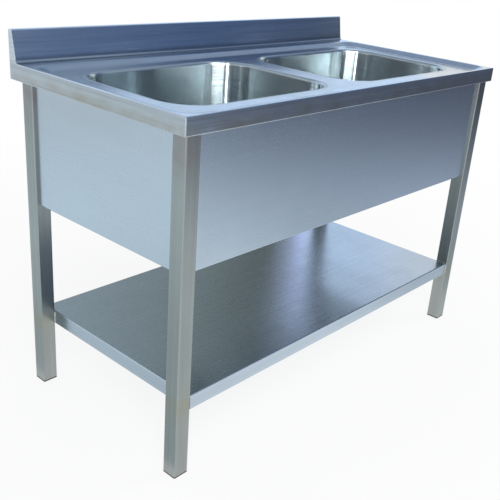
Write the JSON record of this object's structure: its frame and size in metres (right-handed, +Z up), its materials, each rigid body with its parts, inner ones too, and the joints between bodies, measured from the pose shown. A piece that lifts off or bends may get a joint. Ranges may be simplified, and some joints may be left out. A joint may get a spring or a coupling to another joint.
{
  "type": "commercial sink",
  "caption": "Free-standing stainless commercial sink with deep round-cornered bowls in a recessed worktop, a boxed splashback, apron panels, square legs and an undershelf.",
  "frame": {"origin": "on the floor, under the middle of the worktop's outline", "axes": "+X to the right along the front, +Y to the splashback, +Z up"},
  "size_m": [1.25, 0.61, 0.925],
  "materials": {
    "worktop_steel": "satin brushed along X",
    "apron_steel": "fine satin",
    "shelf_steel": "satin brushed",
    "tube_steel": "brushed along the tube",
    "bowl_steel": "half polished",
    "waste_steel": "polished",
    "zinc_steel": "zinc plated",
    "black_plastic": "moulded",
    "black_rubber": "matt"
  },
  "bodies": {
    "sink": {"worktop": "worktop_steel", "splashback_cap_left": "worktop_steel", "splashback_cap_right": "worktop_steel", "front_apron": "apron_steel", "left_apron": "apron_steel", "right_apron": "apron_steel", "undershelf": "shelf_steel", "shelf_stiffener_front": "shelf_steel", "shelf_stiffener_rear": "shelf_steel", "front_rail": "tube_steel", "rear_rail": "tube_steel", "left_rail": "tube_steel", "right_rail": "tube_steel", "centre_brace": "tube_steel", "bowl_left": "bowl_steel", "strainer_body_left": "waste_steel", "tailpiece_left": "waste_steel", "strainer_gasket_left": "black_rubber", "strainer_washer_left": "black_rubber", "tail_washer_left": "black_rubber", "strainer_locknut_left": "black_plastic", "slip_nut_left": "black_plastic", "bowl_right": "bowl_steel", "strainer_body_right": "waste_steel", "tailpiece_right": "waste_steel", "strainer_gasket_right": "black_rubber", "strainer_washer_right": "black_rubber", "tail_washer_right": "black_rubber", "strainer_locknut_right": "black_plastic", "slip_nut_right": "black_plastic", "leg_front_left": "tube_steel", "leg_plug_front_left": "black_plastic", "leg_front_right": "tube_steel", "leg_plug_front_right": "black_plastic", "leg_rear_left": "tube_steel", "leg_plug_rear_left": "black_plastic", "leg_rear_right": "tube_steel", "leg_plug_rear_right": "black_plastic"},
    "pad_front_left": {"foot_pad_front_left": "black_plastic"},
    "stud_front_left": {"foot_stud_front_left": "zinc_steel"},
    "pad_front_right": {"foot_pad_front_right": "black_plastic"},
    "stud_front_right": {"foot_stud_front_right": "zinc_steel"},
    "pad_rear_left": {"foot_pad_rear_left": "black_plastic"},
    "stud_rear_left": {"foot_stud_rear_left": "zinc_steel"},
    "pad_rear_right": {"foot_pad_rear_right": "black_plastic"},
    "stud_rear_right": {"foot_stud_rear_right": "zinc_steel"},
    "lift_basket_left": {"basket_left": "waste_steel", "basket_post_left": "waste_steel", "basket_stopper_left": "black_rubber"},
    "lift_basket_right": {"basket_right": "waste_steel", "basket_post_right": "waste_steel", "basket_stopper_right": "black_rubber"}
  },
  "joints": [
    {"name": "foot_extend_front_left", "type": "slide", "parent": "sink", "child": "pad_front_left", "axis": [0, 0, -1], "range_m": [0, 0.025]},
    {"name": "stud_turn_front_left", "type": "hinge", "parent": "pad_front_left", "child": "stud_front_left", "pos_m": [-0.593, -0.275, 0.002], "axis": [0, 0, -1], "range_deg": [0, 6000]},
    {"name": "foot_extend_front_right", "type": "slide", "parent": "sink", "child": "pad_front_right", "axis": [0, 0, -1], "range_m": [0, 0.025]},
    {"name": "stud_turn_front_right", "type": "hinge", "parent": "pad_front_right", "child": "stud_front_right", "pos_m": [0.593, -0.275, 0.002], "axis": [0, 0, -1], "range_deg": [0, 6000]},
    {"name": "foot_extend_rear_left", "type": "slide", "parent": "sink", "child": "pad_rear_left", "axis": [0, 0, -1], "range_m": [0, 0.025]},
    {"name": "stud_turn_rear_left", "type": "hinge", "parent": "pad_rear_left", "child": "stud_rear_left", "pos_m": [-0.593, 0.255, 0.002], "axis": [0, 0, -1], "range_deg": [0, 6000]},
    {"name": "foot_extend_rear_right", "type": "slide", "parent": "sink", "child": "pad_rear_right", "axis": [0, 0, -1], "range_m": [0, 0.025]},
    {"name": "stud_turn_rear_right", "type": "hinge", "parent": "pad_rear_right", "child": "stud_rear_right", "pos_m": [0.593, 0.255, 0.002], "axis": [0, 0, -1], "range_deg": [0, 6000]},
    {"name": "basket_lift_left", "type": "slide", "parent": "sink", "child": "lift_basket_left", "axis": [0, 0, 1], "range_m": [0, 0.33]},
    {"name": "basket_lift_right", "type": "slide", "parent": "sink", "child": "lift_basket_right", "axis": [0, 0, 1], "range_m": [0, 0.33]}
  ],
  "couplings": [
    {"joint": "stud_turn_front_left", "follows": "foot_extend_front_left", "rad_per_m": 4188.7},
    {"joint": "stud_turn_front_right", "follows": "foot_extend_front_right", "rad_per_m": 4188.7},
    {"joint": "stud_turn_rear_left", "follows": "foot_extend_rear_left", "rad_per_m": 4188.7},
    {"joint": "stud_turn_rear_right", "follows": "foot_extend_rear_right", "rad_per_m": 4188.7}
  ]
}
